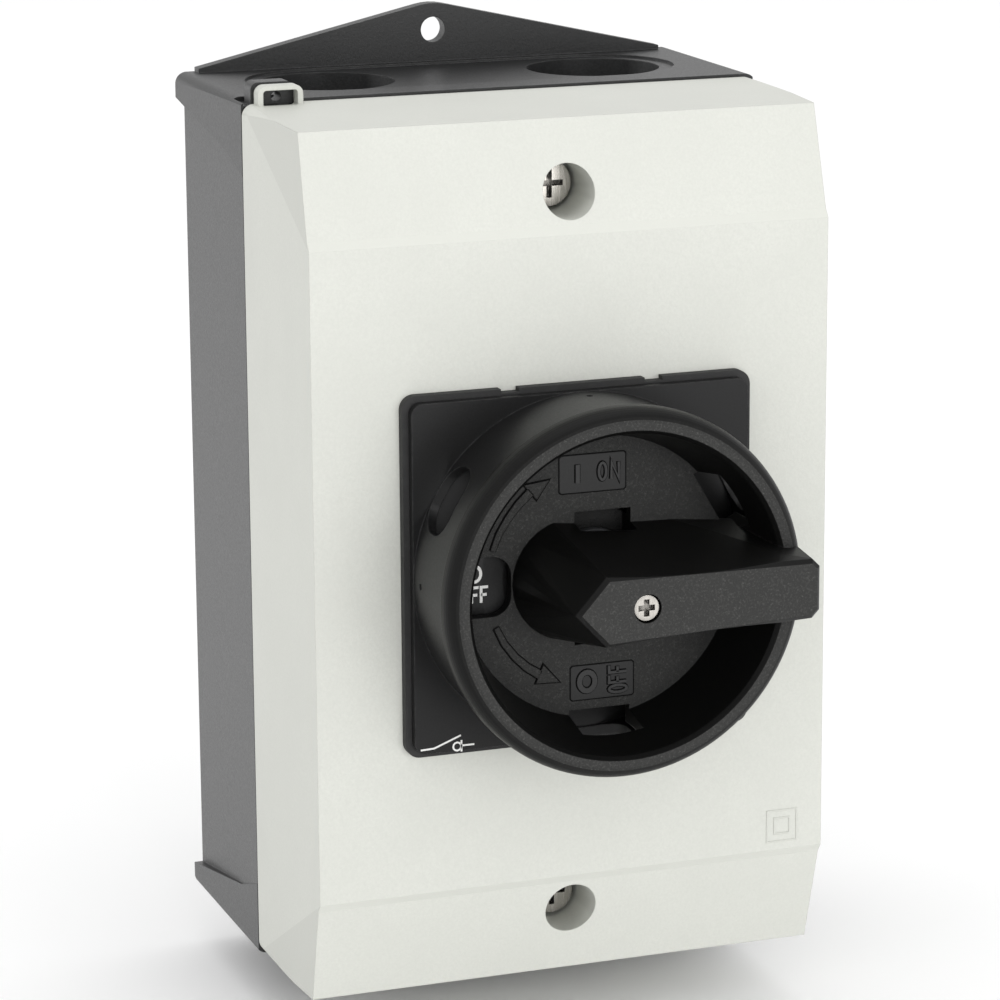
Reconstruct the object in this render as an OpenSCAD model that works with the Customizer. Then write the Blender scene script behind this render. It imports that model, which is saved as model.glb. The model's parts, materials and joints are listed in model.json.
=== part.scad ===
// Rotary isolator switch in a surface-mounting enclosure.
// X runs to the right, the front faces -Y, Z is up and the wall is the plane Y = 0.
// The origin is the centre of the two wall screws. Depths are distances in front of the wall.

/* [Enclosure] */
// Overall width of the base
body_w = 100; // [96:1:120]
// Height of the base without the wall lugs
body_h = 160; // [156:1:180]
// Depth of the base, from the wall to the lid joint
base_depth = 42; // [40:1:46]
// Depth of the closed enclosure, from the wall to the raised front face
lid_depth = 78.7; // [78:0.1:80]
// Wall thickness of base and lid
wall = 2.5; // [2:0.1:3]
// Radius of the four long corners
corner_r = 2.2; // [1:0.1:4]
// Width of the dark line between base and lid
joint_gap = 0.4; // [0.3:0.05:0.6]

/* [Wall lugs] */
// Distance between the two wall screws
lug_pitch = 172; // [170:1:176]
// Diameter of the wall screw holes
lug_hole_d = 4.8; // [4:0.1:5.5]
// Overall height over both lugs
lug_total_h = 182; // [180:1:190]
// Thickness of the lugs and of the back wall
back_t = 3; // [2.5:0.1:4]

/* [Lid screws] */
// Distance between the two lid screws
lid_screw_pitch = 132; // [128:1:136]
// Diameter of the screw wells in the lid
well_d = 9.7; // [9:0.1:11]
// Diameter of the lid screw heads
lid_head_d = 8.2; // [7:0.1:8.6]

/* [Handle] */
// Width and height of the square handle plate
plate_w = 65.4; // [64:0.1:68]
// Outer radius of the fixed collar
collar_r = 31.5; // [31:0.1:31.8]
// Outer radius of the handle rim
rim_r = 33; // [32:0.1:33.5]
// Depth of the handle rim's front edge
rim_depth = 105.5; // [104:0.1:107]
// Depth of the dish floor
dish_depth = 90.5; // [89.5:0.1:91]
// Depth of the grip's front face at the axis
grip_depth = 113.6; // [112:0.1:116]
// Turning angle from OFF to ON
throw_deg = 90; // [90]

/* [Switch block] */
// Number of contact chambers
poles = 3; // [3]
// Depth of one contact chamber
chamber_t = 12; // [12]
// Width and height of the chambers
block_w = 48; // [48:1:50]
// Width across the flats of the square shaft
shaft_w = 6; // [5:0.5:6]
// Lift of a contact bridge
bridge_lift = 3; // [2:0.1:3]

/* [Hidden] */
$fn = 64;
half_w = body_w / 2;
half_h = body_h / 2;
rim_half_w = half_w - 0.6;
rim_half_h = half_h - 0.5;
cavity_half_w = half_w - 4.4;
cavity_half_h = half_h - 2.8;
lid_start = base_depth + joint_gap;
front_half_w = 48.5;
panel_half_h = 58.8;
slope_start_h = 60.3;
slope_end_h = 78.6;
slope_end_depth = 72.4;
pillar_rib = 8;
seal_x = rim_half_w - 2.1;
seal_z = rim_half_h - 2.1;
eyelet_x = -42.9;
eyelet_z = half_h + 0.55;
knockout_x = 26.3;
knockout_r = 12.6;
knockout_depth = 4.5;
entry_depth = 19.2;
plate_screw_x = 26;
plate_back = lid_depth + 1.9;
plate_front = plate_back + 1.8;
collar_front = 100.4;
lock_angles = [30, 150, 270];
foot_depth = 8;
stack_depth = foot_depth + 4;
latch_depth = stack_depth + poles * chamber_t;
latch_t = 10;
foot_w = 64;
foot_screw_x = 28;
stack_bolt_x = 18;
cam_r = 9.8;
follower_z = 10.3;
journal_r = 5.15;
bearing_r = 5.2;
shaft_back = 9.4;
shaft_front = 101;
rim_round = 2.9;
grip_fall = 3;
grip_skirt = 4.2;
waist_x = 17;
waist_half_w = 4.95;
waist_draft = 10.3;
waist_r = 260;
bush_front = 107;
bush_w = 9;
terminal_x = 18.4;
strip_z = 11.7;
strip_t = 1.2;
tip_t = 0.6;
bridge_z = strip_z + strip_t + 2 * tip_t + bridge_lift + 0.3;
bridge_t = 1.1;
bar_z = 52;
eps = 0.05;

// ---------- helpers ----------

// Extrudes an outline drawn in X and Z between two depths
module deep(near, far) {
    rotate([90, 0, 0]) translate([0, 0, near]) linear_extrude(far - near) children();
}

// Extrudes an outline drawn in X and Y between two heights
module upright(low, high) {
    translate([0, 0, low]) linear_extrude(high - low) children();
}

// Extrudes an outline drawn in Y and Z between two X positions
module across(left, right) {
    translate([left, 0, 0]) rotate([90, 0, 90]) linear_extrude(right - left) children();
}

// Turns an outline of radius and depth about the handle axis
module turned() {
    rotate([90, 0, 0]) rotate_extrude() children();
}

// A round rod along the depth
module rod(r, near, far, x = 0, z = 0) {
    translate([x, -near, z]) rotate([90, 0, 0]) cylinder(h = far - near, r = r);
}

// A box given by its X, depth and Z ranges
module box(x, depth, z) {
    translate([x[0], -depth[1], z[0]])
        cube([x[1] - x[0], depth[1] - depth[0], z[1] - z[0]]);
}

// A rectangle with round corners, made of squares and circles
module round_rect(w, h, r) {
    square([w - 2 * r, h], center = true);
    square([w, h - 2 * r], center = true);
    for (sx = [-1, 1], sz = [-1, 1])
        translate([sx * (w / 2 - r), sz * (h / 2 - r)]) circle(r);
}

// Copies at the four corners of a square pattern
module at_corners(x, z) {
    for (sx = [-1, 1], sz = [-1, 1]) translate([sx * x, 0, sz * z]) children();
}

// A tapered pair of side walls seen from above
module taper(w_near, near, w_far, far) {
    polygon([[-w_near, -near], [w_near, -near], [w_far, -far], [-w_far, -far]]);
}

// A cross-head screw lying along the depth, with its head at the front
module screw(head_r, head_t, shank_r, head_front, tip, drive_r) {
    difference() {
        union() {
            rod(head_r, head_front - head_t, head_front);
            rod(shank_r, tip, head_front - head_t + eps);
        }
        for (turn = [0, 90])
            rotate([0, turn, 0])
                box([-drive_r, drive_r], [head_front - head_t * 0.6, head_front + 1], [-0.5, 0.5]);
    }
}

// A compression spring standing on Z = 0: rings of wire joined by short risers on alternate sides
module coil(mean_r, wire, height, turns) {
    pitch = (height - wire) / (turns - 1);
    for (k = [0:turns - 1])
        translate([0, 0, k * pitch])
            rotate_extrude() translate([mean_r - wire / 2, 0]) square(wire);
    for (k = [0:turns - 2])
        rotate([0, 0, 180 * (k % 2)])
            translate([mean_r - wire / 2, -wire, k * pitch]) cube([wire, 2 * wire, pitch + wire]);
}

// ---------- base ----------

// Side outline of the shallow recess in each side wall
module side_recess() {
    polygon([
        [1, -75.5], [-31.5, -69.7], [-base_depth - 1, -66],
        [-base_depth - 1, 66], [-31.5, 69.7], [1, 75.5]
    ]);
}

// Triangular wall lug with a round tip, pointing up
module lug_outline() {
    tip_r = 12;
    tip_z = lug_total_h / 2 - tip_r;
    root_x = 46.2;
    root_z = half_h + 0.8;
    slope = atan2(tip_z + tip_r * 1.026 - root_z, root_x);
    tangent = tip_r * [sin(slope), cos(slope)];
    polygon([
        [-root_x, half_h - 6], [root_x, half_h - 6], [root_x, root_z],
        [tangent[0], tip_z + tangent[1]], [-tangent[0], tip_z + tangent[1]], [-root_x, root_z]
    ]);
    intersection() {
        translate([0, tip_z]) circle(tip_r);
        translate([-tip_r, tip_z]) square([2 * tip_r, tip_r + 1]);
    }
}

module base_outer() {
    difference() {
        intersection() {
            deep(0, base_depth) round_rect(body_w, body_h, corner_r);
            upright(-half_h - 1, half_h + 1) taper(half_w, 0, rim_half_w, base_depth);
        }
        difference() {
            across(-half_w - 1, half_w + 1) side_recess();
            upright(-half_h, half_h) taper(48.3, -2, rim_half_w, base_depth + 2);
        }
    }
    for (side = [0, 180]) rotate([0, side, 0]) deep(0, back_t) lug_outline();
}

// Knock-out discs and the shallow pan around them in the top or bottom wall
module cable_entries() {
    pan_depth = 0.5;
    for (side = [-1, 1]) {
        translate([side * knockout_x, -entry_depth, half_h - knockout_depth])
            cylinder(h = knockout_depth + 1, r = knockout_r);
        translate([side * knockout_x, -entry_depth - 0.4, half_h - pan_depth])
            cylinder(h = pan_depth + 1, r = 15.2);
    }
    box([-knockout_x, knockout_x], [back_t + 1.4, 34.8], [half_h - pan_depth, half_h + 1]);
}

// Bosses inside the wall that carry the knock-out discs
module entry_bosses() {
    for (side = [-1, 1], turn = [0, 180])
        rotate([0, turn, 0]) translate([side * knockout_x, -entry_depth, half_h - knockout_depth - 0.9])
            cylinder(h = knockout_depth - 1, r = knockout_r + 1.6);
}

module base_shell() {
    color("#2b2b2c")
    difference() {
        union() {
            difference() {
                union() {
                    difference() {
                        base_outer();
                        deep(back_t, base_depth + 1)
                            round_rect(2 * cavity_half_w, 2 * cavity_half_h, corner_r);
                    }
                    entry_bosses();
                }
                cable_entries();
                rotate([0, 180, 0]) cable_entries();
                box([-49, -38.4], [base_depth - 6, base_depth + 1], [half_h - 0.9, half_h + 1]);
            }
            // sealing tongue
            difference() {
                deep(base_depth - 1, base_depth + 1.5) round_rect(2 * seal_x + 0.7, 2 * seal_z + 0.7, 2);
                deep(base_depth - 2, base_depth + 2) round_rect(2 * seal_x - 0.7, 2 * seal_z - 0.7, 2);
            }
            // seal-wire ear behind the lid's eyelet
            difference() {
                deep(base_depth - 4, base_depth) translate([eyelet_x - 0.7, half_h])
                    round_rect(8, 6.4, 1.4);
                rod(0.9, base_depth - 5, base_depth + 1, eyelet_x, eyelet_z);
            }
            for (side = [-1, 1]) {
                // lid screw pillars
                rod(5, back_t - eps, base_depth - 1, 0, side * lid_screw_pitch / 2);
                box([-1.2, 1.2], [back_t - eps, base_depth - 3],
                    [side * lid_screw_pitch / 2 - pillar_rib, side * lid_screw_pitch / 2 + pillar_rib]);
                // terminal bar pillars
                for (end = [-1, 1]) rod(3.6, back_t - eps, foot_depth, end * 30, side * bar_z);
            }
            at_corners(foot_screw_x, foot_screw_x) rod(3.6, back_t - eps, foot_depth);
        }
        for (side = [-1, 1]) {
            rod(lug_hole_d / 2, -1, back_t + 1, 0, side * lug_pitch / 2);
            rod(1.9, 24, base_depth + 1, 0, side * lid_screw_pitch / 2);
        }
        at_corners(foot_screw_x, foot_screw_x) rod(1.2, back_t + 1, foot_depth + 1);
    }
}

// ---------- terminal bars ----------

module bar_holder(side, shade) {
    color(shade)
    translate([0, 0, side * bar_z])
    difference() {
        union() {
            box([-34, 34], [foot_depth, foot_depth + 3], [-4.5, 4.5]);
            for (end = [-1, 1])
                box([end * 24 - 4, end * 24 + 4], [foot_depth, foot_depth + 7], [-4.5, 4.5]);
        }
        box([-28.5, 28.5], [foot_depth + 5, foot_depth + 12], [-3.3, 3.3]);
    }
}

module terminal_bar(side) {
    color("#c9a227")
    translate([0, 0, side * bar_z])
    difference() {
        box([-28, 28], [foot_depth + 5, foot_depth + 14], [-3, 3]);
        for (k = [-2:2]) {
            translate([k * 9.6, -foot_depth - 9, -4]) cylinder(h = 8, r = 2.1);
            rod(1.75, foot_depth + 9, foot_depth + 15, k * 9.6);
        }
        // undercuts that leave the two feet clear of the holder's cheeks
        box([-18, 18], [foot_depth + 4, foot_depth + 6], [-4, 4]);
    }
}

module bar_screws(side) {
    color("#b9bcc0")
    translate([0, 0, side * bar_z])
    for (k = [-2:2]) translate([k * 9.6, 0, 0])
        difference() {
            union() {
                rod(2.6, foot_depth + 14, foot_depth + 16.4);
                rod(1.75, foot_depth + 11.3, foot_depth + 14 + eps);
            }
            box([-3, 3], [foot_depth + 15.4, foot_depth + 17], [-0.4, 0.4]);
        }
}

// ---------- switch block ----------

// Depth of the middle of a chamber's contacts
function contact_depth(index) = stack_depth + (index - 1) * chamber_t + 7.5;

module switch_foot() {
    color("#3a3b3d")
    difference() {
        deep(foot_depth, stack_depth) round_rect(foot_w, foot_w, 4);
        at_corners(foot_screw_x, foot_screw_x) rod(1.7, 0, stack_depth + 1);
        rod(bearing_r, foot_depth + 1, stack_depth + 1);
        at_corners(stack_bolt_x, stack_bolt_x) rod(1.5, foot_depth + 1, stack_depth + 1);
    }
}

module switch_foot_screws() {
    color("#b9bcc0")
    at_corners(foot_screw_x, foot_screw_x) screw(3, 1.8, 1.2, stack_depth + 1.8, back_t + 1.5, 1.9);
}

module contact_chamber(index) {
    back = stack_depth + (index - 1) * chamber_t;
    color("#d9d6cc")
    difference() {
        deep(back, back + chamber_t) round_rect(block_w, block_w, 2);
        rod(bearing_r, back - 1, back + 3);
        rod(cam_r + 0.5, back + 1.5, back + chamber_t + 1);
        // bridge chamber and the slots for the fixed contacts
        box([-15, 15], [back + 2, back + chamber_t + 1], [strip_z, 22.4]);
        box([-2.2, 2.2], [back + 2, back + chamber_t + 1], [0, 12]);
        box([-block_w, block_w], [back + 4.4, back + chamber_t + 1], [strip_z, strip_z + 1.6]);
        for (side = [-1, 1]) {
            box([side * terminal_x - 3.6, side * terminal_x + 3.6],
                [back + 3.4, back + chamber_t + 1], [9.4, block_w]);
        }
        at_corners(stack_bolt_x, -stack_bolt_x) rod(1.5, back - 1, back + chamber_t + 1);
    }
}

module latch_housing() {
    color("#3a3b3d")
    difference() {
        union() {
            deep(latch_depth, latch_depth + latch_t) round_rect(block_w, block_w, 3);
            rod(8, latch_depth + latch_t - eps, latch_depth + latch_t + 2);
        }
        rod(13.2, latch_depth + 1.5, latch_depth + latch_t - 1.5);
        rod(bearing_r, latch_depth - 1, latch_depth + latch_t + 3);
        box([-19.6, 19.6], [latch_depth + 1.5, latch_depth + latch_t - 1.5], [-2.3, 2.3]);
        at_corners(stack_bolt_x, stack_bolt_x) rod(1.5, latch_depth - 1, latch_depth + latch_t + 1);
    }
}

module stack_bolts() {
    color("#b9bcc0")
    for (side = [-1, 1])
        translate([side * stack_bolt_x, 0, -stack_bolt_x])
            screw(2.8, 1.8, 1.45, latch_depth + latch_t + 1.8, foot_depth + 1.2, 1.8);
}

// Two copper strips with silver tips, one to each side of the bridge
module fixed_contacts(index) {
    mid = contact_depth(index);
    top = strip_z + strip_t;
    color("#b87333")
    for (side = [-1, 1]) {
        inner = side * 8;
        outer = side * 22.4;
        box([min(inner, outer), max(inner, outer)], [mid - 2.6, mid + 2.6], [strip_z, top]);
        translate([side * 10, -mid, top - eps]) cylinder(h = tip_t + eps, r = 1.6);
    }
}

module terminal_clamps() {
    color("#c8cacc")
    for (index = [1:poles], side = [-1, 1]) {
        mid = contact_depth(index);
        difference() {
            box([side * terminal_x - 3.1, side * terminal_x + 3.1], [mid - 3.4, mid + 3.4], [9.9, 18.4]);
            box([side * terminal_x - 4, side * terminal_x + 4], [mid - 2.7, mid + 2.7], [11.7, 16.2]);
            translate([side * terminal_x, -mid, 16]) cylinder(h = 4, r = 1.5);
        }
    }
}

module terminal_screws() {
    color("#b9bcc0")
    for (index = [1:poles], side = [-1, 1]) {
        mid = contact_depth(index);
        translate([side * terminal_x, -mid, 0])
        difference() {
            union() {
                translate([0, 0, 13.2]) cylinder(h = 6.4, r = 1.5);
                translate([0, 0, 19.2]) cylinder(h = 2.2, r = 2.8);
            }
            translate([-3, -0.4, 20.4]) cube([6, 0.8, 2]);
        }
    }
}

module switch_shaft() {
    color("#9fa3a8")
    union() {
        deep(shaft_back, shaft_front) square(shaft_w, center = true);
        rod(journal_r, shaft_back, stack_depth - 0.4);
        rod(journal_r, latch_depth + latch_t - 1, latch_depth + latch_t + 1.6);
    }
}

// Radius of the cam, measured from the follower against the turning direction
function cam_radius(a) =
    a <= 100 ? cam_r - (bridge_lift + 0.3) * min(a, throw_deg) / throw_deg :
    a <= 130 ? cam_r - (bridge_lift + 0.3) * (130 - a) / 30 : cam_r;

module cam(index) {
    back = stack_depth + (index - 1) * chamber_t + 2;
    color("#e7e3d4")
    difference() {
        deep(back + 1.5, back + 8.6)
            polygon([for (a = [0:10:350]) cam_radius(a) * [-sin(a), cos(a)]]);
        deep(back, back + 10) square(shaft_w, center = true);
    }
}

module latch_star() {
    color("#e7e3d4")
    difference() {
        rod(10.6, latch_depth + 2.2, latch_depth + latch_t - 2.2);
        for (turn = [0, 90, 180, 270]) rotate([0, turn, 0]) rod(2.6, 0, 80, 11.2, 0);
        deep(latch_depth, latch_depth + latch_t) square(shaft_w, center = true);
    }
}

module latch_rollers() {
    color("#b9bcc0")
    for (side = [-1, 1]) rod(2, latch_depth + 2, latch_depth + latch_t - 2, side * 13, 0);
}

module latch_springs() {
    color("#9aa0a6")
    for (side = [0, 180])
        rotate([0, side, 0])
            translate([15, -(latch_depth + latch_t / 2), 0]) rotate([0, 90, 0]) coil(1.5, 0.7, 4.5, 3);
}

module shaft_clip() {
    color("#9fa3a8")
    difference() {
        rod(6.4, latch_depth + latch_t + 2.4, latch_depth + latch_t + 3.4);
        deep(latch_depth, latch_depth + 30) square(shaft_w, center = true);
    }
}

// Plastic carrier that follows the cam and holds the bridge
module contact_plunger(index) {
    mid = contact_depth(index);
    color("#ece8da")
    difference() {
        union() {
            box([-1.6, 1.6], [mid - 3, mid + 3], [follower_z + 1.5, bridge_z]);
            translate([0, -mid + 3, follower_z + 1.5]) rotate([90, 0, 0]) cylinder(h = 6, r = 1.5);
            box([-4, 4], [mid - 3.6, mid + 3.6], [bridge_z - 1, bridge_z + 2.2]);
        }
        box([-6, 6], [mid - 2.4, mid + 2.4], [bridge_z, bridge_z + bridge_t]);
    }
}

// Copper bridge with a silver tip under each end
module contact_bridge(index) {
    mid = contact_depth(index);
    color("#b87333")
    union() {
        box([-12.4, 12.4], [mid - 2.4, mid + 2.4], [bridge_z, bridge_z + bridge_t]);
        for (side = [-1, 1])
            translate([side * 10, -mid, bridge_z - tip_t]) cylinder(h = tip_t + eps, r = 1.6);
    }
}

module contact_spring(index) {
    color("#9aa0a6")
    translate([0, -contact_depth(index), bridge_z + 2.2]) coil(2.2, 0.6, 2.4, 3);
}

// ---------- lid ----------

// Side profile of the lid: raised panel in the middle, sloping ends
module lid_profile(inset, start) {
    z1 = rim_half_h - inset;
    z2 = slope_end_h - inset;
    d2 = slope_end_depth - inset * 0.7;
    z3 = slope_start_h - inset * 0.1;
    d3 = lid_depth - 1.1 - inset;
    z4 = panel_half_h - inset * 0.1;
    d4 = lid_depth - inset;
    polygon([
        [-start, z1], [-d2, z2], [-d3, z3], [-d4, z4],
        [-d4, -z4], [-d3, -z3], [-d2, -z2], [-start, -z1]
    ]);
}

// Cuts that narrow the sloping ends a little towards top and bottom
module end_facets() {
    for (sx = [0, 1], sz = [0, 1])
        mirror([sx, 0, 0]) mirror([0, 0, sz])
            translate([front_half_w, -lid_depth, panel_half_h])
                rotate([0, -1.47, -2.26]) translate([0, -5, -60]) cube([10, 60, 120]);
}

module lid_outer() {
    difference() {
        intersection() {
            across(-half_w, half_w) lid_profile(0, lid_start);
            upright(-half_h, half_h) taper(rim_half_w, lid_start, front_half_w, lid_depth);
            deep(lid_start, lid_depth + 1) round_rect(2 * rim_half_w, 2 * rim_half_h, corner_r);
        }
        end_facets();
    }
}

module lid_shell() {
    rim_end = lid_start + 6;
    color("#e2e3db")
    difference() {
        union() {
            difference() {
                lid_outer();
                intersection() {
                    across(-cavity_half_w, cavity_half_w) lid_profile(wall, rim_end);
                    upright(-half_h, half_h)
                        taper(rim_half_w - wall, rim_end, front_half_w - wall, lid_depth);
                }
                deep(lid_start - 1, rim_end + 1) round_rect(2 * seal_x - 5, 2 * seal_z - 5, 2);
            }
            for (side = [-1, 1])
                intersection() {
                    rod(well_d / 2 + 2, lid_start + 1, lid_depth, 0, side * lid_screw_pitch / 2);
                    across(-20, 20) lid_profile(0.2, lid_start - 2);
                }
            // sealing eyelet on the top edge
            deep(lid_start, lid_start + 2.6) translate([eyelet_x, half_h])
                round_rect(8.4, 5.8, 1.6);
        }
        // seal groove
        difference() {
            deep(lid_start - 1, lid_start + 3.4) round_rect(2 * seal_x + 2, 2 * seal_z + 2, 2.4);
            deep(lid_start - 2, lid_start + 4) round_rect(2 * seal_x - 2, 2 * seal_z - 2, 2);
        }
        for (side = [-1, 1]) {
            rod(well_d / 2, 63, lid_depth + 1, 0, side * lid_screw_pitch / 2);
            rod(2.4, lid_start, 64, 0, side * lid_screw_pitch / 2);
        }
        deep(lid_start - 1, lid_start + 3) translate([eyelet_x, eyelet_z]) round_rect(6.4, 3, 0.6);
        rod(13, 60, lid_depth + 1);
        at_corners(plate_screw_x, plate_screw_x) rod(3.3, 60, lid_depth + 1);
    }
}

module lid_gasket() {
    color("#4a4d50")
    difference() {
        deep(lid_start + 1.5, lid_start + 3.4) round_rect(2 * seal_x + 1.9, 2 * seal_z + 1.9, 2.4);
        deep(lid_start, lid_start + 4) round_rect(2 * seal_x - 1.9, 2 * seal_z - 1.9, 2);
    }
}

module lid_screws() {
    color("#b9bcc0")
    for (side = [-1, 1])
        translate([0, 0, side * lid_screw_pitch / 2]) screw(lid_head_d / 2, 3, 1.85, 66.1, 26, 2.6);
}

module lid_screw_retainers() {
    color("#e8e8e4")
    for (side = [-1, 1])
        translate([0, 0, side * lid_screw_pitch / 2])
        difference() {
            rod(3.4, lid_start - 0.4, lid_start + 0.95);
            rod(1.86, lid_start - 1, lid_start + 2);
        }
}

// ---------- handle plate ----------

module plate_gasket() {
    color("#1f1f20")
    difference() {
        deep(lid_depth, plate_back) round_rect(plate_w, plate_w, 2.6);
        rod(13, lid_depth - 1, plate_back + 1);
        at_corners(plate_screw_x, plate_screw_x) rod(3.3, lid_depth - 1, plate_back + 1);
        for (x = [-12.8, 14.2])
            box([x - 1.7, x + 1.7], [lid_depth - 1, plate_back + 1], [plate_w / 2 - 0.7, plate_w / 2 + 1]);
    }
}

// One radial opening of the collar, where the padlock shackle comes out
module collar_window(angle) {
    rotate([0, -angle, 0])
        translate([collar_r - 5, -(plate_front + 5.6), 0]) rotate([0, 90, 0])
            linear_extrude(12) round_rect(13, 10.4, 4.6);
}

module handle_plate() {
    color("#262627")
    difference() {
        union() {
            deep(plate_back, plate_front) round_rect(plate_w - 2.2, plate_w - 2.2, 2);
            rod(collar_r, plate_front - eps, collar_front);
            at_corners(plate_screw_x, plate_screw_x) rod(2.9, lid_depth - 2.3, plate_front - eps);
            rod(12.6, 75, plate_front);
        }
        difference() {
            rod(collar_r - 1.8, plate_front, collar_front + 1);
            // label ring with a rounded face
            turned() polygon([
                [13.6, plate_back], [24.4, plate_back], [24.4, plate_front + 4], [23.4, plate_front + 5],
                [21, plate_front + 5.5], [17, plate_front + 5.5], [14.6, plate_front + 5],
                [13.6, plate_front + 4]
            ]);
        }
        for (angle = lock_angles) collar_window(angle);
        rod(8.05, 70, plate_front + 1);
        rod(10, 74, 77.6);
        at_corners(plate_screw_x, plate_screw_x) rod(1.2, 70, plate_front - 0.6);
        // small moulding marks at twelve and nine o'clock
        for (angle = [90, 180])
            rotate([0, -angle, 0]) translate([collar_r - 0.3, -86, 0]) rotate([0, 90, 0])
                cylinder(h = 1, r = 0.6, $fn = 16);
    }
}

module plate_screws() {
    color("#b9bcc0")
    at_corners(plate_screw_x, plate_screw_x)
        mirror([0, 1, 0]) screw(4.3, 1.9, 1.15, -74.3, -81.6, 1.9);
}

// ---------- handle ----------

// Bush that carries the knob in the plate and takes the square shaft
module drive_bush() {
    color("#3a3b3d")
    difference() {
        union() {
            rod(8, 72.2, 88);
            rod(9.4, 72.2, 74.6);
            deep(87, bush_front) square(bush_w, center = true);
        }
        deep(70, shaft_front + 0.6) square(shaft_w + 0.7, center = true);
        rod(1.55, shaft_front, bush_front + 1);
    }
}

module bush_seal() {
    color("#1f1f20")
    difference() {
        rod(9.95, 75.4, 77.5);
        rod(8.02, 75, 78);
    }
}

// Outline of the grip seen from the front, widened by a skirt towards the root
module grip_outline(skirt) {
    polygon([
        [-13.2 - skirt * 0.6, 0], [-7.4, 6.2 + skirt], [31.6, 5.3 + skirt * 0.5], [33, 3.9],
        [33, -3.9], [31.6, -5.3 - skirt * 0.5], [-7.4, -6.2 - skirt]
    ]);
}

// Tilts the grip's front face so that it falls slightly towards its end
module grip_tilt() {
    translate([0, -grip_depth, 0]) rotate([0, 0, grip_fall]) translate([0, grip_depth, 0]) children();
}

// Grip with waisted flanks, cut to stand inside the cup and in front of its rim
module grip() {
    intersection() {
        difference() {
            hull() {
                grip_tilt() deep(grip_depth - 0.8, grip_depth - 0.7) grip_outline(0);
                grip_tilt() deep(grip_depth - 0.1, grip_depth) offset(delta = -0.7) grip_outline(0);
                deep(dish_depth - 1, dish_depth) grip_outline(grip_skirt);
                rod(11, dish_depth - 1, dish_depth, -5.2, 0, $fn = 32);
            }
            for (side = [-1, 1])
                translate([waist_x, -grip_depth, side * waist_half_w])
                    rotate([side * waist_draft, 0, 0])
                        translate([0, 0, side * waist_r]) rotate([-90, 0, 0])
                            translate([0, 0, -5]) cylinder(h = 40, r = waist_r, $fn = 360);
        }
        turned() polygon([
            [0, dish_depth - 2], [28, dish_depth - 2], [28, dish_depth + 2], [29, collar_front + 0.4],
            [rim_r, rim_depth - 3], [rim_r + 3, rim_depth], [rim_r + 3, grip_depth + 2], [0, grip_depth + 2]
        ]);
    }
}

// One slot through the dish for a padlock shackle
module lock_slot(angle) {
    rotate([0, -angle, 0]) box([23.9, rim_r - 1.4], [dish_depth - 6, dish_depth + 6.8], [-5.7, 5.7]);
}

module handle_knob() {
    floor_r = 25.4;
    color("#333334")
    difference() {
        union() {
            difference() {
                // cup with an overhanging rim
                turned() polygon([
                    [0, dish_depth - 2], [28.2, dish_depth - 2], [28.2, dish_depth + 2],
                    [29.2, collar_front + 0.2], [29.2, collar_front + 0.6], [rim_r, collar_front + 0.6],
                    for (a = [0:10:90])
                        [rim_r - rim_round * (1 - cos(a)), rim_depth - 1.2 * rim_round * (1 - sin(a))],
                    [29.3, rim_depth], [28.6, rim_depth - 0.8], [floor_r, dish_depth], [0, dish_depth]
                ]);
                for (angle = lock_angles) lock_slot(angle);
                // reading window at nine o'clock
                deep(dish_depth - 3, dish_depth + 1) difference() {
                    translate([-21.6, 0]) round_rect(10.4, 10.8, 3.6);
                    difference() {
                        circle(40);
                        circle(floor_r);
                    }
                }
            }
            grip();
            rod(12, 84.3, dish_depth - 1);
        }
        // pockets beside the grip
        for (side = [-1, 1])
            box([-4.6, 5.9], [dish_depth - 4, dish_depth + 3.4], [side * 9 - 3, side * 9 + 3]);
        rod(8.06, 80, 88.1);
        deep(88, bush_front + 0.1) square(bush_w + 0.1, center = true);
        rod(1.7, bush_front, grip_depth + 1);
        rod(2.55, grip_depth - 2.6, grip_depth + 1);
    }
}

module handle_screw() {
    color("#d3d5d8")
    screw(2.25, 1.7, 1.5, grip_depth - 0.6, shaft_front + 1.2, 1.5);
}

// ---------- assembly ----------

base_shell();
bar_holder(-1, "#5e9e3a");  // earth_bar_holder
terminal_bar(-1);  // earth_bar
bar_screws(-1);  // earth_bar_screws
bar_holder(1, "#2f5fa8");  // neutral_bar_holder
terminal_bar(1);  // neutral_bar
bar_screws(1);  // neutral_bar_screws
switch_foot();
switch_foot_screws();
contact_chamber(1);  // contact_chamber_1
contact_chamber(2);  // contact_chamber_2
contact_chamber(3);  // contact_chamber_3
latch_housing();
stack_bolts();
fixed_contacts(1);  // fixed_contacts_1
fixed_contacts(2);  // fixed_contacts_2
fixed_contacts(3);  // fixed_contacts_3
terminal_clamps();
terminal_screws();
switch_shaft();
cam(1);  // cam_1
cam(2);  // cam_2
cam(3);  // cam_3
latch_star();
latch_rollers();
latch_springs();
shaft_clip();
contact_plunger(1);  // contact_plunger_1
contact_plunger(2);  // contact_plunger_2
contact_plunger(3);  // contact_plunger_3
contact_bridge(1);  // contact_bridge_1
contact_bridge(2);  // contact_bridge_2
contact_bridge(3);  // contact_bridge_3
contact_spring(1);  // contact_spring_1
contact_spring(2);  // contact_spring_2
contact_spring(3);  // contact_spring_3
lid_shell();
lid_gasket();
lid_screws();
lid_screw_retainers();
plate_gasket();
handle_plate();
plate_screws();
drive_bush();
bush_seal();
handle_knob();
handle_screw();
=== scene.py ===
"""Rotary isolator switch: looks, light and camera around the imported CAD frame."""
import json
import math

import bmesh
import bpy
from mathutils import Matrix, Vector


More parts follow.
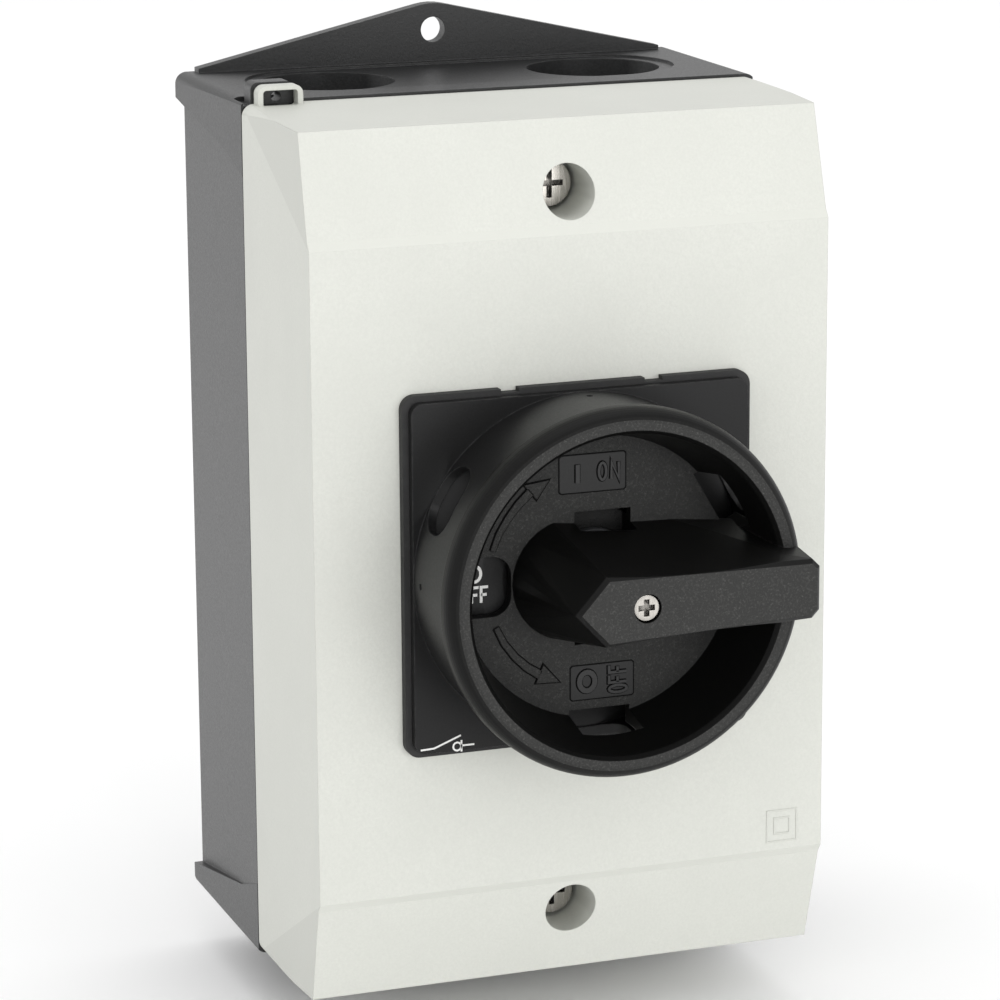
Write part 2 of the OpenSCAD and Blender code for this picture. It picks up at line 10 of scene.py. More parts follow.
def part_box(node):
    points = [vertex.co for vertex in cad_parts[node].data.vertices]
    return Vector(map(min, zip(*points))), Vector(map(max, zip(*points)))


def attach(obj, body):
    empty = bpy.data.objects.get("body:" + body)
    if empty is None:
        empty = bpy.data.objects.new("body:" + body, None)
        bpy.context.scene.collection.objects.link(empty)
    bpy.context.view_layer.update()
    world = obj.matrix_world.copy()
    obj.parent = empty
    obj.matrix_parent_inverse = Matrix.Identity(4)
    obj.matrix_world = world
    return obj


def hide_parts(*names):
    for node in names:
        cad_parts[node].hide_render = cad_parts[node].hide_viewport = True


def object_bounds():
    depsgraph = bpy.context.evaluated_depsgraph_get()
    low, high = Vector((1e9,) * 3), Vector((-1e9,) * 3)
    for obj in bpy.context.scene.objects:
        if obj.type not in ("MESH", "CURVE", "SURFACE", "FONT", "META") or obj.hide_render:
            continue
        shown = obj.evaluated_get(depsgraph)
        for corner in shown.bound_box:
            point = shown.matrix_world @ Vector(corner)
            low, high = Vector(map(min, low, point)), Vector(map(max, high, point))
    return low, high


MM = 0.001
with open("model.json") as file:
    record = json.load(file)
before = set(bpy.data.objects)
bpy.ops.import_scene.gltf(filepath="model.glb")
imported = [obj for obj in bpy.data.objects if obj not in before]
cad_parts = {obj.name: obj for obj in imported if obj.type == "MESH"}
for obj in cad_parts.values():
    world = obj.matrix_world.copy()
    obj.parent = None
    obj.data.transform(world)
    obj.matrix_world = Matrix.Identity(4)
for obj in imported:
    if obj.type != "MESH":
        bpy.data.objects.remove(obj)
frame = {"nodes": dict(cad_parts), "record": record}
cad_low, cad_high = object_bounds()
nodes = frame["nodes"]


# ---------- materials ----------

class Shade:
    """A principled material whose nodes read object coordinates in millimetres."""

    def __init__(self, name):
        self.material = bpy.data.materials.new(name)
        self.material.use_nodes = True
        self.tree = self.material.node_tree
        self.tree.nodes.clear()
        self.out = self.add("ShaderNodeOutputMaterial")
        self.bsdf = self.add("ShaderNodeBsdfPrincipled")
        self.link(self.bsdf.outputs[0], self.out.inputs[0])
        coords = self.add("ShaderNodeTexCoord")
        scale = self.add("ShaderNodeVectorMath", operation="SCALE")
        scale.inputs["Scale"].default_value = 1 / MM
        self.link(coords.outputs["Object"], scale.inputs[0])
        self.mm = scale.outputs[0]
        self.normal = coords.outputs["Normal"]

    def add(self, kind, **settings):
        made = self.tree.nodes.new(kind)
        for key, value in settings.items():
            setattr(made, key, value)
        return made

    def link(self, source, target):
        self.tree.links.new(source, target)

    def put(self, socket, value):
        """Sets a socket to a number or colour, or links it to another socket."""
        if isinstance(value, bpy.types.NodeSocket):
            self.link(value, socket)
        elif isinstance(value, tuple) and len(value) < len(socket.default_value):
            socket.default_value = (*value, 1)
        else:
            socket.default_value = value

    def set(self, name, value):
        self.put(self.bsdf.inputs[name], value)

    def normal_part(self, axis):
        """The X, Y or Z part of the surface normal, without its sign."""
        split = self.add("ShaderNodeSeparateXYZ")
        self.link(self.normal, split.inputs[0])
        return self.math("ABSOLUTE", split.outputs[axis])

    def math(self, operation, a, b=0.0):
        made = self.add("ShaderNodeMath", operation=operation)
        self.put(made.inputs[0], a)
        self.put(made.inputs[1], b)
        return made.outputs[0]

    def noise(self, size, detail=3.0, rough=0.6, stretch=None):
        """Noise from 0 to 1 whose lumps are about size millimetres wide."""
        made = self.add("ShaderNodeTexNoise")
        vector = self.mm
        if stretch:
            scaled = self.add("ShaderNodeVectorMath", operation="MULTIPLY")
            self.link(vector, scaled.inputs[0])
            scaled.inputs[1].default_value = stretch
            vector = scaled.outputs[0]
        self.link(vector, made.inputs["Vector"])
        made.inputs["Scale"].default_value = 1 / size
        made.inputs["Detail"].default_value = detail
        made.inputs["Roughness"].default_value = rough
        return made.outputs["Fac"]

    def cells(self, size):
        """Distance to the nearest point of a random pattern about size millimetres apart."""
        made = self.add("ShaderNodeTexVoronoi")
        self.link(self.mm, made.inputs["Vector"])
        made.inputs["Scale"].default_value = 1 / size
        return made.outputs["Distance"]

    def span(self, value, low, high, to_low=0.0, to_high=1.0):
        made = self.add("ShaderNodeMapRange")
        self.put(made.inputs["Value"], value)
        self.put(made.inputs["From Min"], low)
        self.put(made.inputs["From Max"], high)
        self.put(made.inputs["To Min"], to_low)
        self.put(made.inputs["To Max"], to_high)
        return made.outputs["Result"]

    def mix(self, factor, a, b):
        made = self.add("ShaderNodeMix", data_type="RGBA")
        self.put(made.inputs[0], factor)
        self.put(made.inputs[6], a)
        self.put(made.inputs[7], b)
        return made.outputs[2]

    def edges(self, radius):
        """1 on convex and concave edges, 0 on open surfaces."""
        bevel = self.add("ShaderNodeBevel", samples=6)
        bevel.inputs["Radius"].default_value = radius * MM
        flat = self.add("ShaderNodeNewGeometry")
        product = self.add("ShaderNodeVectorMath", operation="DOT_PRODUCT")
        self.link(bevel.outputs[0], product.inputs[0])
        self.link(flat.outputs["Normal"], product.inputs[1])
        return self.span(self.math("SUBTRACT", 1.0, product.outputs["Value"]), 0.02, 0.25)

    def bump(self, height, depth, strength=1.0, rounding=0.0):
        """Bumps depth millimetres high, on edges softened to a radius of rounding millimetres."""
        made = self.add("ShaderNodeBump")
        made.inputs["Strength"].default_value = strength
        made.inputs["Distance"].default_value = depth * MM
        self.link(height, made.inputs["Height"])
        if rounding:
            bevel = self.add("ShaderNodeBevel", samples=4)
            bevel.inputs["Radius"].default_value = rounding * MM
            self.link(bevel.outputs[0], made.inputs["Normal"])
        self.link(made.outputs[0], self.bsdf.inputs["Normal"])


def scaled(colour, factor):
    return tuple(c * factor for c in colour)


def moulded(
    name, colour, rough=0.5, grain=0.5, depth=0.03, speckle=0.06, wear_and_highlight=0.25, rounding=0.25,
    gloss=0.45, lit_side_colour=None, lean_shade=0.0,
):
    """Moulded plastic: fine spark-eroded grain, faint blotches, edges painted a little lighter,
    partly as rubbing from use and partly as painted highlight.

    Grain, depth and rounding are in millimetres. The side colour is a painted lighter tone for
    faces that look sideways, standing in for light from the side. lean_shade is painted shade on
    the facets that lean towards top and bottom, and a quarter of it is painted highlight on the
    narrow steps at the panel's ends.
    """
    s = Shade(name)
    fine = s.noise(grain, 4, 0.7)
    blotch = s.noise(14, 2, 0.5)
    base = s.mix(s.span(fine, 0.3, 0.7), scaled(colour, 1 - speckle), scaled(colour, 1 + speckle))
    base = s.mix(s.span(blotch, 0.3, 0.7, 0, 0.35), base, scaled(colour, 0.93))
    # painted light: faces that look sideways get a lighter tone of their own, standing in for light
    # from the side
    if lit_side_colour:
        sideways = s.span(s.normal_part("X"), 0.8, 0.97)
        sparkle = s.span(s.noise(0.6, 4, 0.7), 0.4, 0.65)
        side = s.mix(sparkle, scaled(lit_side_colour, 0.85), scaled(lit_side_colour, 1.2))
        base = s.mix(sideways, base, side)
    if lean_shade:
        # the narrow end facets lean towards top and bottom and gather less light
        sideways = s.span(s.normal_part("X"), 0.9, 0.95)
        leaning = s.span(s.normal_part("Z"), 0.01, 0.02)
        base = s.mix(s.math("MULTIPLY", sideways, leaning), base, scaled(colour, 1 - lean_shade))
        # the narrow step at both ends of the raised panel catches the light
        steep = s.normal_part("Z")
        step = s.math("MULTIPLY", s.span(steep, 0.4, 0.5), s.span(steep, 0.7, 0.8, 1, 0))
        base = s.mix(step, base, scaled(colour, 1 + lean_shade / 4))
    # edges painted lighter in patches: partly rubbing from use, partly painted highlight where
    # rounded edges catch the light
    patchy = s.span(s.noise(1.3, 5, 0.7), 0.42, 0.62, 0, wear_and_highlight)
    worn_and_lit_edges = s.math("MULTIPLY", s.edges(rounding * 1.6), patchy)
    lighter = tuple(c + (0.6 - c) * 0.12 if c < 0.3 else min(1, c * 1.06) for c in colour)
    s.set("Base Color", s.mix(worn_and_lit_edges, base, lighter))
    s.set("Roughness", s.span(fine, 0.25, 0.75, rough - 0.07, rough + 0.07))
    s.set("Specular IOR Level", gloss)
    s.bump(fine, depth, 0.8, rounding)
    return s.material


def metal(name, colour, rough=0.3, direction=(1, 1, 0.06), rounding=0.12):
    """Drawn or turned metal: fine scratches one way, painted shade in recesses and brighter edges.
    """
    s = Shade(name)
    scratch = s.noise(0.35, 4, 0.7, direction)
    stain = s.noise(2.6, 3, 0.6)
    base = s.mix(s.span(scratch, 0.3, 0.7), scaled(colour, 0.86), colour)
    base = s.mix(s.span(stain, 0.4, 0.75, 0, 0.4), base, scaled(colour, 0.72))
    # painted shade: colour falls almost to black in recesses such as the cross in the screw heads
    painted_shade_ao = s.add("ShaderNodeAmbientOcclusion", samples=4)
    painted_shade_ao.inputs["Distance"].default_value = 2 * MM
    base = s.mix(s.span(painted_shade_ao.outputs["AO"], 0.45, 0.8), scaled(colour, 0.12), base)
    bright = tuple(min(1, c * 1.15) for c in colour)
    s.set("Base Color", s.mix(s.edges(rounding * 1.5), base, bright))
    s.set("Metallic", 1.0)
    s.set("Roughness", s.span(scratch, 0.2, 0.8, rough - 0.08, rough + 0.12))
    s.bump(scratch, 0.012, 0.5, rounding)
    return s.material


def rubber(name, colour):
    """Matt rubber with a little pale dust."""
    s = Shade(name)
    dust = s.noise(1.6, 4, 0.65)
    fine = s.noise(0.25, 2, 0.6)
    dusty = tuple(c + 0.03 for c in colour)
    s.set("Base Color", s.mix(s.span(dust, 0.45, 0.8, 0, 0.5), colour, dusty))
    s.set("Roughness", s.span(dust, 0.2, 0.8, 0.62, 0.82))
    s.bump(fine, 0.02, 0.6, 0.2)
    return s.material


def knob_plastic(name, colour):
    """Black plastic: coarse grain on faces that look forward, its peaks painted bright as grain
    tone and as painted glints, dark satin on walls, and painted shade near walls.
    """
    s = Shade(name)
    split = s.add("ShaderNodeSeparateXYZ")
    s.link(s.normal, split.inputs[0])
    forward = s.span(s.math("MULTIPLY", split.outputs["Y"], -1.0), 0.86, 0.97)
    coarse = s.noise(0.42, 4, 0.72)
    grains = s.span(s.cells(0.46), 0.05, 0.5, 1, 0)
    fine = s.noise(0.3, 3, 0.6)
    peaks = s.math("ADD", s.math("MULTIPLY", grains, 0.6), 0.4)
    # grain peaks painted bright: partly grain tone, partly painted glints
    tips_and_glints = s.math("MULTIPLY", s.span(coarse, 0.5, 0.72), peaks)
    # edges painted lighter in patches: partly rubbing from use, partly painted highlight
    worn_and_lit_edges = s.math("MULTIPLY", s.edges(0.5), s.span(s.noise(1.1, 5, 0.7), 0.4, 0.62, 0, 0.3))
    rough_colour = s.mix(tips_and_glints, scaled(colour, 0.9), scaled(colour, 4.6))
    satin_colour = s.mix(s.span(fine, 0.3, 0.7), scaled(colour, 0.12), scaled(colour, 0.22))
    # painted shade: forward faces near walls and in hollows fall back to the dark satin colour
    painted_shade_ao = s.add("ShaderNodeAmbientOcclusion", samples=4)
    painted_shade_ao.inputs["Distance"].default_value = 10 * MM
    unshaded_share = s.span(painted_shade_ao.outputs["AO"], 0.35, 0.8, 0.05, 1)
    base = s.mix(s.math("MULTIPLY", forward, unshaded_share), satin_colour, rough_colour)
    s.set("Base Color", s.mix(worn_and_lit_edges, base, scaled(colour, 2.2)))
    satin_rough = s.span(fine, 0.3, 0.7, 0.34, 0.42)
    grain_rough = s.span(coarse, 0.3, 0.7, 0.55, 0.68)
    s.set("Roughness", s.span(forward, 0, 1, satin_rough, grain_rough))
    s.set("Specular IOR Level", s.span(forward, 0, 1, 0.14, 0.3))
    lumps = s.math("ADD", coarse, s.math("MULTIPLY", grains, 0.5))
    grain_height = s.math("MULTIPLY", lumps, forward)
    s.bump(s.math("ADD", grain_height, s.math("MULTIPLY", fine, 0.06)), 0.12, 0.9, 0.3)
    return s.material


def printed(name, colour):
    """Printing ink: slightly uneven."""
    s = Shade(name)
    thin = s.noise(0.3, 3, 0.6)
    s.set("Base Color", s.mix(s.span(thin, 0.3, 0.7), scaled(colour, 0.86), colour))
    s.set("Roughness", s.span(thin, 0.2, 0.8, 0.45, 0.6))
    s.bump(thin, 0.01, 0.4)
    return s.material


LOOKS = {
    "black_housing": moulded(
        "black_housing_look", (0.014, 0.0143, 0.0146), rough=0.42, grain=0.45, depth=0.06,
        speckle=0.5, wear_and_highlight=0.5, rounding=0.3, gloss=0.38, lit_side_colour=(0.07, 0.0705, 0.071),
    ),
    "grey_housing": moulded(
        "grey_housing_look", (0.590, 0.598, 0.555), depth=0.05, speckle=0.045, wear_and_highlight=0.3,
        gloss=0.3, lean_shade=0.08,
    ),
    "black_satin": moulded(
        "black_satin_look", (0.0105, 0.0105, 0.0107), rough=0.34, grain=0.4, depth=0.008,
        speckle=0.2, wear_and_highlight=0.4, rounding=0.3, gloss=0.21,
    ),
    "black_textured": knob_plastic("black_textured_look", (0.022, 0.022, 0.021)),
    "dark_grey_plastic": moulded("dark_grey_plastic_look", (0.055, 0.057, 0.06), 0.5, 0.6, 0.03),
    "ivory_plastic": moulded("ivory_plastic_look", (0.62, 0.58, 0.48), 0.5, 0.7, 0.03),
    "green_plastic": moulded("green_plastic_look", (0.10, 0.33, 0.06), 0.4),
    "blue_plastic": moulded("blue_plastic_look", (0.03, 0.12, 0.40), 0.4),
    "white_plastic": moulded("white_plastic_look", (0.76, 0.76, 0.73), 0.4),
    "zinc_steel": metal("zinc_steel_look", (0.62, 0.63, 0.66), 0.32),
    "stainless": metal("stainless_look", (0.58, 0.555, 0.515), 0.24),
    "spring_steel": metal("spring_steel_look", (0.50, 0.51, 0.53), 0.28),
    "shaft_steel": metal("shaft_steel_look", (0.52, 0.53, 0.55), 0.34, (1, 0.06, 1)),
    "copper": metal("copper_look", (0.80, 0.42, 0.26), 0.3, (0.06, 1, 1)),
    "brass": metal("brass_look", (0.80, 0.60, 0.26), 0.3, (0.06, 1, 1)),
    "seal_rubber": rubber("seal_rubber_look", (0.045, 0.046, 0.048)),
    "black_rubber": rubber("black_rubber_look", (0.014, 0.014, 0.014)),
}
WHITE_INK = printed("white_ink_look", (0.82, 0.82, 0.80))
SATIN_TILE = moulded(
    "satin_tile_look", (0.020, 0.020, 0.020), rough=0.45, grain=0.4, depth=0.012,
    speckle=0.2, wear_and_highlight=0.3, rounding=0.08, gloss=0.25,
)
# painted shade: a near-black look for flat sheets just above the dish floor, standing in for the
# shade around raised marks
PAINTED_SHADE = moulded(
    "painted_shade_look", (0.004, 0.004, 0.004), rough=0.7, grain=0.4, depth=0.01,
    speckle=0.2, wear_and_highlight=0.0, rounding=0.05, gloss=0.05,
)
SATIN_SIGN = moulded(
    "satin_sign_look", (0.026, 0.026, 0.026), rough=0.4, grain=0.4, depth=0.012,
    speckle=0.2, wear_and_highlight=0.5, rounding=0.08, gloss=0.3,
)

slots = {row["node"]: row["material_slot"] for row in frame["record"]["subparts"]}
for node_name, node in nodes.items():
    node.data.materials.clear()
    node.data.materials.append(LOOKS[slots[node_name]])


# ---------- surface marks ----------

def depth_of(node, x, z):
    """How far in front of the wall a CAD node's front surface stands at x, z, in millimetres."""
    hit, place, _, _ = nodes[node].ray_cast(Vector((x * MM, -0.5, z * MM)), Vector((0, 1, 0)))
    if not hit:
        raise ValueError(f"nothing of {node} at {x}, {z}")
    return -place.y / MM


def offset_outline(points, width, closed):
    """Left and right edges of a stroke of that width along the points."""
    left, right = [], []
    count = len(points)
    for i, point in enumerate(points):
        here = Vector(point)
        before = Vector(points[i - 1]) if closed or i > 0 else None
        after = Vector(points[(i + 1) % count]) if closed or i < count - 1 else None
        ahead = (after - here).normalized() if after is not None else (here - before).normalized()
        behind = (here - before).normalized() if before is not None else ahead
        across = Vector((-(ahead + behind).y, (ahead + behind).x)).normalized()
        reach = width / 2 / max(0.35, across.dot(Vector((-ahead.y, ahead.x))))
        left.append(here + across * reach)
        right.append(here - across * reach)
    return left, right


class Mark:
    """Strokes and areas in X and Z that stand a little above a surface."""

    def __init__(self):
        self.mesh = bmesh.new()

    def prism(self, outline, back, front):
        """A closed outline of X, Z points between two depths in front of the wall."""
        low = [self.mesh.verts.new((x * MM, -back * MM, z * MM)) for x, z in outline]
        high = [self.mesh.verts.new((x * MM, -front * MM, z * MM)) for x, z in outline]
        self.mesh.faces.new(high)
        self.mesh.faces.new(low[::-1])
        for i in range(len(outline)):
            j = (i + 1) % len(outline)
            self.mesh.faces.new((low[i], low[j], high[j], high[i]))

    def band(self, left, right, back, front, closed):
        """One solid band between two edges, with no faces inside it."""
        rows = []
        for a, b in zip(left, right):
            corners = ((a, back), (b, back), (b, front), (a, front))
            rows.append([
                self.mesh.verts.new((x * MM, -depth * MM, z * MM)) for (x, z), depth in corners
            ])
        for i in range(len(rows) if closed else len(rows) - 1):
            this, after = rows[i], rows[(i + 1) % len(rows)]
            for k in range(4):
                m = (k + 1) % 4
                self.mesh.faces.new((this[k], this[m], after[m], after[k]))
        if not closed:
            self.mesh.faces.new(rows[0])
            self.mesh.faces.new(rows[-1][::-1])

    def taper(self, points, first, last, back, front):
        """A stroke whose width grows evenly from first to last along the points."""
        lefts, rights = [], []
        for i in range(len(points)):
            width = first + (last - first) * i / (len(points) - 1)
            left, right = offset_outline(points, width, False)
            lefts.append(left[i])
            rights.append(right[i])
        self.band(lefts, rights, back, front, False)

    def stroke(self, points, width, back, front, closed=False):
        left, right = offset_outline(points, width, closed)
        self.band(left, right, back, front, closed)

    def done(self, name, look, body, soften=0.0):
        bmesh.ops.recalc_face_normals(self.mesh, faces=self.mesh.faces)
        data = bpy.data.meshes.new(name)
        self.mesh.to_mesh(data)
        self.mesh.free()
        data.materials.append(look)
        made = bpy.data.objects.new(name, data)
        bpy.context.collection.objects.link(made)
        if soften:
            made.modifiers.new("soft_edges", "BEVEL").width = soften * MM
        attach(made, body)


def arc(centre, radius, start, end, steps):
    """Points on an arc, with angles in degrees anticlockwise from +X."""
    made = []
    for i in range(steps + 1):
        a = math.radians(start + (end - start) * i / steps)
        made.append((centre[0] + radius * math.cos(a), centre[1] + radius * math.sin(a)))
    return made


def chamfered(left, right, bottom, upper, cut):
    """A rectangle with its corners cut off."""
    return [
        (left + cut, bottom), (right - cut, bottom), (right, bottom + cut), (right, upper - cut),
        (right - cut, upper), (left + cut, upper), (left, upper - cut), (left, bottom + cut),
    ]


def letter(kind, width, height):
    """Strokes of a plain capital letter as (points, closed), from its lower left corner."""
    if kind == "I":
        return [([(width / 2, 0), (width / 2, height)], False)]
    if kind == "N":
        return [([(0, 0), (0, height), (width, 0), (width, height)], False)]
    if kind == "F":
        stem = [(0, 0), (0, height), (width, height)]
        middle_bar = [(0, height * 0.52), (width * 0.8, height * 0.52)]
        return [(stem, False), (middle_bar, False)]
    if kind == "O":
        centre, steps = (width / 2, height / 2), 20
        ring = []
        for i in range(steps):
            a = 2 * math.pi * i / steps
            ring.append((centre[0] + width / 2 * math.cos(a), centre[1] + height / 2 * math.sin(a)))
        return [(ring, True)]
    raise ValueError(kind)


def write(mark, word, x, z, width, height, gap, line, back, front, turned=0):
    """Writes a word centred on x, z; turned is in degrees anticlockwise."""
    length = len(word) * width + (len(word) - 1) * gap
    turn = Matrix.Rotation(math.radians(turned), 2)
    for i, kind in enumerate(word):
        for points, closed in letter(kind, width, height):
            placed = []
            for px, pz in points:
                moved = turn @ Vector((px + i * (width + gap) - length / 2, pz - height / 2))
                placed.append((moved.x + x, moved.y + z))
            mark.stroke(placed, line, back, front, closed)


# raised marks on the dish floor of the knob: a smooth tile under each position's name
floor = depth_of("handle_knob", -2, 14)
tile_top = floor + 0.12
sign_top = floor + 0.42
sunk = floor - 0.3
# left, right, bottom and upper edge of the ON and OFF tiles
TILES = ((-7.4, 4.9, 15.5, 22.2), (-5.4, 6.4, -22.1, -15.9))
tiles = Mark()
for left, right, bottom, upper in TILES:
    tiles.prism(chamfered(left, right, bottom, upper, 0.35), sunk, tile_top)
tiles.done("knob_position_tiles", SATIN_TILE, "handle", 0.06)

# word, centre, letter width and height, gap, line width, and turn in degrees
KNOB_WORDS = (
    ("I", -4.1, 18.9, 1.0, 3.3, 0, 0.8, 0),
    ("ON", 1.7, 19.0, 1.35, 3.0, 1.0, 0.5, 0),
    ("O", -2.4, -18.8, 2.9, 3.4, 0, 0.95, 0),
    ("OFF", 3.4, -18.8, 1.3, 3.3, 0.55, 0.5, 90),
)
# painted shade: each name also gets wider near-black letters just above the tile, a dark rim of
# shade around its strokes
SIGN_SHADE_RIM = 0.36
signs = Mark()
sign_shade_rims = Mark()
for word, x, z, width, height, gap, line, turned in KNOB_WORDS:
    write(signs, word, x, z, width, height, gap, line, sunk, sign_top, turned)
    write(
        sign_shade_rims, word, x, z, width, height, gap, line + SIGN_SHADE_RIM,
        sunk, tile_top + 0.02, turned,
    )
signs.done("knob_position_names", SATIN_SIGN, "handle", 0.07)
sign_shade_rims.done("knob_name_painted_shade", PAINTED_SHADE, "handle")

arrows = Mark()
shade_rims = Mark()
arrow_top = floor + 0.34
shade_rim_top = floor + 0.05
# each turn arrow: its curved shaft, its head, and a wider head whose rim is painted shade around
# the head
TURN_ARROWS = (
    (
        [(-19.85, 6.4), (-18.7, 9.3), (-16.9, 12.1), (-15.0, 14.4), (-12.7, 16.5)],
        [(-14.1, 17.7), (-11.7, 14.9), (-9.3, 18.3)],
        [(-14.4, 17.9), (-11.65, 14.5), (-8.9, 18.5)],
    ),
    (
        [(-19.3, -7.4), (-17.8, -10.4), (-15.8, -13.0), (-13.6, -15.1), (-11.2, -16.7)],
        [(-12.0, -18.2), (-7.5, -18.4), (-10.6, -14.9)],
        [(-12.3, -18.4), (-7.1, -18.6), (-10.6, -14.5)],
    ),
)
TAIL_WIDTH, NECK_WIDTH = 1.0, 1.6
# painted shade: wider near-black copies of the arrows and around the tiles, just above the floor
ARROW_SHADE_RIM = 0.35
TILE_SHADE_RIM = 0.18
for shaft, head, wide_shade_head in TURN_ARROWS:
    arrows.taper(shaft, TAIL_WIDTH, NECK_WIDTH, sunk, arrow_top)
    arrows.prism(head, sunk, arrow_top)
    shade_rims.taper(shaft, TAIL_WIDTH + ARROW_SHADE_RIM, NECK_WIDTH + ARROW_SHADE_RIM, sunk, shade_rim_top)
    shade_rims.prism(wide_shade_head, sunk, shade_rim_top)
for left, right, bottom, upper in TILES:
    around = chamfered(
        left - TILE_SHADE_RIM, right + TILE_SHADE_RIM, bottom - TILE_SHADE_RIM, upper + TILE_SHADE_RIM, 0.4
    )
    shade_rims.prism(around, sunk, shade_rim_top)
arrows.done("knob_turn_arrows", LOOKS["black_textured"], "handle", 0.06)
shade_rims.done("knob_mark_painted_shade", PAINTED_SHADE, "handle")

# printed labels on the plate's label ring, read through the knob's window
label = depth_of("handle_plate", 0, 19.5)
ink_back, ink_front = label - 0.1, label + 0.06
label_mark = Mark()
LABEL_WORDS = (
    ("O", -22.2, 1.9, 2.2, 2.8, 0, 0.55),
    ("OFF", -22.15, -1.95, 1.3, 2.8, 0.45, 0.5),
    ("I", 0, 21.8, 1.0, 2.8, 0, 0.55),
    ("ON", 0, 17.6, 1.5, 2.8, 0.6, 0.5),
)
for word, x, z, width, height, gap, line in LABEL_WORDS:
    write(label_mark, word, x, z, width, height, gap, line, ink_back, ink_front)
label_mark.done("position_label_print", WHITE_INK, "lid")

# isolator symbol printed on the lower left of the plate
sheet = depth_of("handle_plate", -27, -27)
# the open blade, the ring, the bar and the lead of the symbol
SYMBOL_STROKES = (
    ([(-30.6, -30.8), (-28.1, -30.7), (-23.1, -28.8)], False),
    (arc((-23.8, -30.8), 0.75, 0, 330, 11), True),
    ([(-23.0, -29.7), (-23.0, -31.8)], False),
    ([(-23.0, -30.7), (-20.6, -30.7)], False),
)
SYMBOL_LINE = 0.32
symbol = Mark()
for points, closed in SYMBOL_STROKES:
    symbol.stroke(points, SYMBOL_LINE, sheet - 0.1, sheet + 0.05, closed)
symbol.done("isolator_symbol_print", WHITE_INK, "lid")

# double square of protection class II, moulded into the lid
panel = depth_of("lid_shell", 40, -50)
squares = Mark()
SQUARE_CENTRE = (40.6, -54.2)
SQUARE_HALVES = (2.95, 1.5)
x, z = SQUARE_CENTRE
for half in SQUARE_HALVES:
    ring = [(x - half, z - half), (x + half, z - half), (x + half, z + half), (x - half, z + half)]
    squares.stroke(ring, 0.3, panel - 0.1, panel + 0.12, True)
squares.done("double_square_mark", LOOKS["grey_housing"], "lid", 0.03)


# ---------- springs ----------

STEPS_PER_TURN = 24
# the part of a turn that lies flat at each end
CLOSED_TURNS = 0.6


def helix(name, low, high, axis, wire, turns, body, slot):
    """A wound compression spring with closed ends between two corners of its box."""
    centre = (low + high) / 2
    length = (high - low)[axis] - wire
    radius = ((high - low)[(axis + 1) % 3] - wire) / 2
    steps = STEPS_PER_TURN * turns
    curve = bpy.data.curves.new(name, "CURVE")
    curve.dimensions = "3D"
    curve.bevel_depth = wire / 2
    curve.bevel_resolution = 3
    spline = curve.splines.new("POLY")
    spline.points.add(steps)
    for i in range(steps + 1):
        share = i / steps
        climbed = (share * turns - CLOSED_TURNS) / (turns - 2 * CLOSED_TURNS)
        rise = min(1, max(0, climbed))
        angle = 2 * math.pi * turns * share
        place = [0, 0, 0]
        place[axis] = centre[axis] + length * (rise - 0.5)
        place[(axis + 1) % 3] = centre[(axis + 1) % 3] + radius * math.cos(angle)
        place[(axis + 2) % 3] = centre[(axis + 2) % 3] + radius * math.sin(angle)
        spline.points[i].co = (*place, 1)
    made = bpy.data.objects.new(name, curve)
    bpy.context.collection.objects.link(made)
    curve.materials.append(LOOKS[slot])
    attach(made, body)
    return made


body_of_node = {}
for body_name, members in frame["record"]["behaviour"]["bodies"].items():
    for member in members:
        body_of_node[member] = body_name

for number in (1, 2, 3):
    spring_node = f"contact_spring_{number}"
    low_corner, high_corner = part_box(spring_node)
    spring = helix(
        f"contact_spring_{number}_wound", low_corner, high_corner, axis=2, wire=0.6 * MM, turns=4,
        body=body_of_node[spring_node], slot="spring_steel",
    )
    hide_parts(spring_node)


# ---------- stage, light, camera ----------

def floor_plane(half_width, level, look):
    """A square floor around the origin, with sizes in metres."""
    made = bmesh.new()
    for x, y in ((-1, -1), (1, -1), (1, 1), (-1, 1)):
        made.verts.new((x * half_width, y * half_width, level))
    made.faces.new(made.verts)
    data = bpy.data.meshes.new("floor")
    made.to_mesh(data)
    made.free()
    data.materials.append(look)
    result = bpy.data.objects.new("floor", data)
    bpy.context.collection.objects.link(result)


FLOOR_HALF_WIDTH = 6
FLOOR_GAP = 0.0005
stage_look = Shade("pale_floor_look")
cloud = stage_look.noise(60, 3, 0.5)
stage_look.set("Base Color", stage_look.mix(cloud, (0.95, 0.95, 0.95), (0.975, 0.975, 0.975)))
stage_look.set("Roughness", 0.9)
floor_plane(FLOOR_HALF_WIDTH, cad_low.z - FLOOR_GAP, stage_look.material)

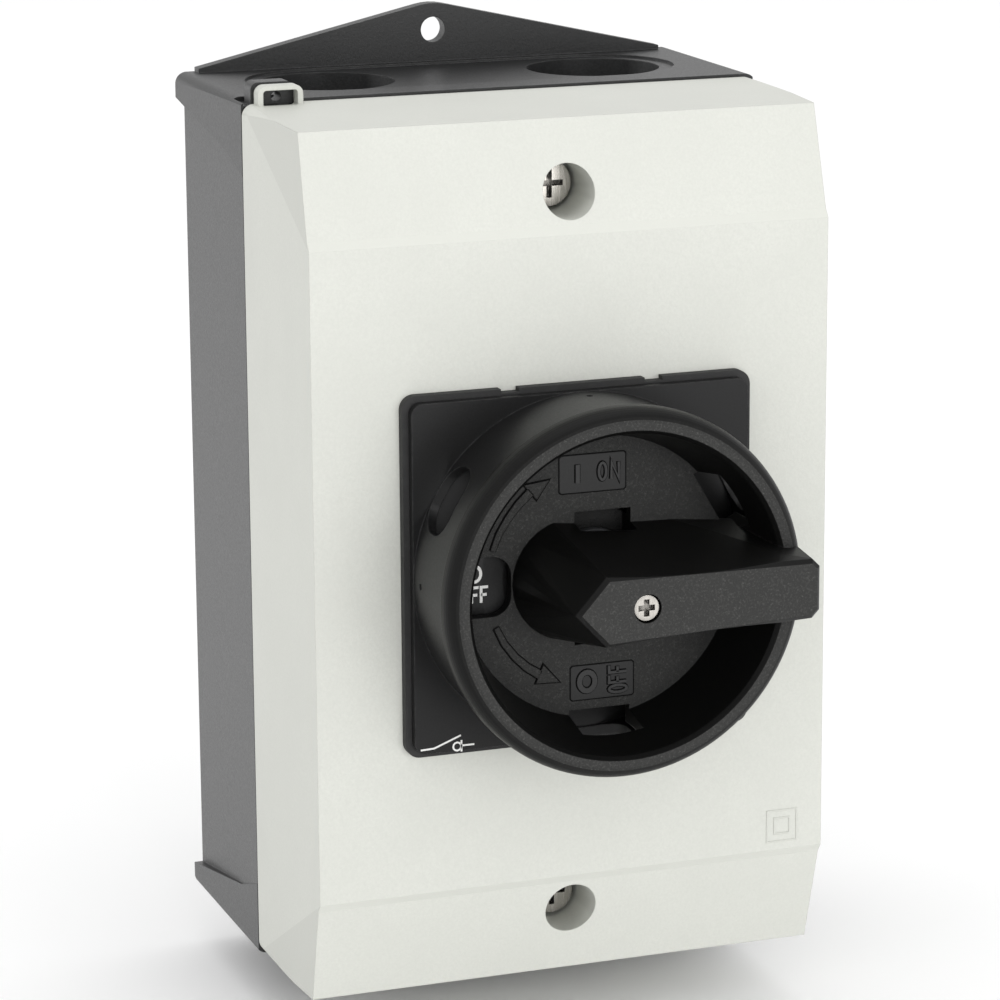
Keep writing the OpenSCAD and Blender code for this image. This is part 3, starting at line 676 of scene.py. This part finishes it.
world = bpy.data.worlds.new("studio")
bpy.context.scene.world = world
bpy.context.scene.view_settings.view_transform = "Standard"
world.use_nodes = True
background = world.node_tree.nodes["Background"]
background.inputs["Color"].default_value = (1, 1, 1, 1)
background.inputs["Strength"].default_value = 1.03


def area_light(name, place, aim, size, power):
    data = bpy.data.lights.new(name, "AREA")
    data.shape = "RECTANGLE"
    data.size, data.size_y = size
    data.energy = power
    made = bpy.data.objects.new(name, data)
    bpy.context.collection.objects.link(made)
    made.location = place
    made.rotation_euler = (Vector(aim) - Vector(place)).to_track_quat("-Z", "Y").to_euler()


# name, place, aim, width and height in metres, and power in watts
LIGHTS = (
    ("key", (0.2, -1.75, 0.3), (0, 0, 0), (1.0, 1.0), 5.6),
    ("low", (0.1, -1.1, 0.02), (0, 0, -0.08), (1.2, 0.2), 1.9),
    ("fill", (-1.5, -0.9, 0.5), (0, 0, 0), (0.9, 0.9), 1.2),
    ("top", (0.0, -0.1, 1.3), (0, 0, 0), (1.0, 0.8), 1.7),
)
for light in LIGHTS:
    area_light(*light)

# the photo's viewpoint: place in metres, angles in degrees, lens in millimetres
CAMERA_PLACE = (-0.2471, -0.7298, 0.1812)
CAMERA_AZIMUTH, CAMERA_ELEVATION, CAMERA_ROLL = -20.07, 13.39, -0.28
CAMERA_LENS = 145.55
CAMERA_SHIFT = (-0.0261, -0.0234)

camera_data = bpy.data.cameras.new("camera")
camera_data.sensor_width = 36
camera_data.lens = CAMERA_LENS
camera_data.shift_x, camera_data.shift_y = CAMERA_SHIFT
camera_data.clip_start = 0.05
camera_data.clip_end = 50
camera = bpy.data.objects.new("camera", camera_data)
bpy.context.collection.objects.link(camera)
camera.location = CAMERA_PLACE
azimuth, elevation = math.radians(CAMERA_AZIMUTH), math.radians(CAMERA_ELEVATION)
look_along = Vector((
    -math.sin(azimuth) * math.cos(elevation),
    math.cos(azimuth) * math.cos(elevation),
    -math.sin(elevation),
))
roll = Matrix.Rotation(math.radians(CAMERA_ROLL), 3, "Z").to_quaternion()
camera.rotation_mode = "QUATERNION"
camera.rotation_quaternion = look_along.to_track_quat("-Z", "Y") @ roll
bpy.context.scene.camera = camera
